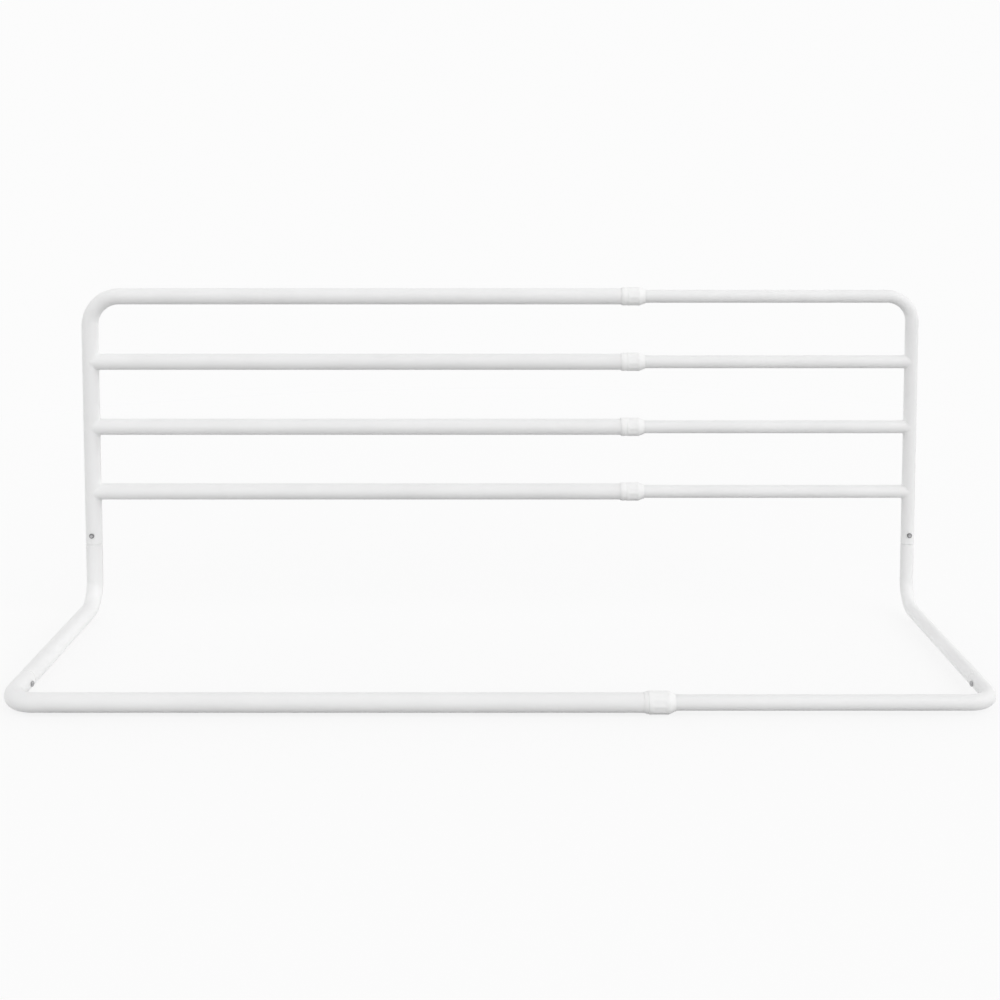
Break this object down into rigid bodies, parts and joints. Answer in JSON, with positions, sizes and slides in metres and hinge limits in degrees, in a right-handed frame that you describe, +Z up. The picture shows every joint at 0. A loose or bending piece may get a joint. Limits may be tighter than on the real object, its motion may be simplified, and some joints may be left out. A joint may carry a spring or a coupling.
{
  "type": "extendable bed guard rail",
  "caption": "Telescopic tubular bed guard rail: barred panel on curved posts, with base frame legs that run forward under the mattress, and a twist lock.",
  "frame": {"origin": "middle of the bounding box, on the floor plane under the lowest point of the base frame", "axes": "+X along the rails from the wide half to the slim half, +Y away from the mattress towards the barred panel, +Z up"},
  "size_m": [1.27, 0.4034, 0.5033],
  "materials": {
    "white_coat": "satin white powder coat on steel tube",
    "white_plastic": "white moulded plastic, fine matt grain",
    "zinc_steel": "bright zinc plate"
  },
  "bodies": {
    "left_half": {"left_frame_tube": "white_coat", "left_crossbar_1": "white_coat", "left_crossbar_2": "white_coat", "left_crossbar_3": "white_coat", "left_leg_tube": "white_coat", "left_base_tube": "white_coat", "left_post_screw": "zinc_steel", "left_leg_screw": "zinc_steel", "left_post_nut": "zinc_steel", "left_leg_nut": "zinc_steel", "guide_collar_1": "white_plastic", "guide_collar_2": "white_plastic", "guide_collar_3": "white_plastic", "guide_collar_4": "white_plastic", "base_lock_sleeve": "white_plastic"},
    "lock_collar": {"base_lock_collar": "white_plastic"},
    "right_half": {"right_frame_tube": "white_coat", "right_crossbar_1": "white_coat", "right_crossbar_2": "white_coat", "right_crossbar_3": "white_coat", "right_leg_tube": "white_coat", "right_base_tube": "white_coat", "right_post_screw": "zinc_steel", "right_leg_screw": "zinc_steel", "right_post_nut": "zinc_steel", "right_leg_nut": "zinc_steel", "guide_plug_1": "white_plastic", "guide_plug_2": "white_plastic", "guide_plug_3": "white_plastic", "guide_plug_4": "white_plastic", "guide_plug_5": "white_plastic"}
  },
  "joints": [
    {"name": "extension_slide", "type": "slide", "parent": "left_half", "child": "right_half", "axis": [1, 0, 0], "range_m": [-0.365, 0.33]},
    {"name": "base_lock_twist", "type": "hinge", "parent": "left_half", "child": "lock_collar", "pos_m": [0.2, -0.18735, 0.01432], "axis": [1, 0, 0], "range_deg": [0, 90]}
  ]
}
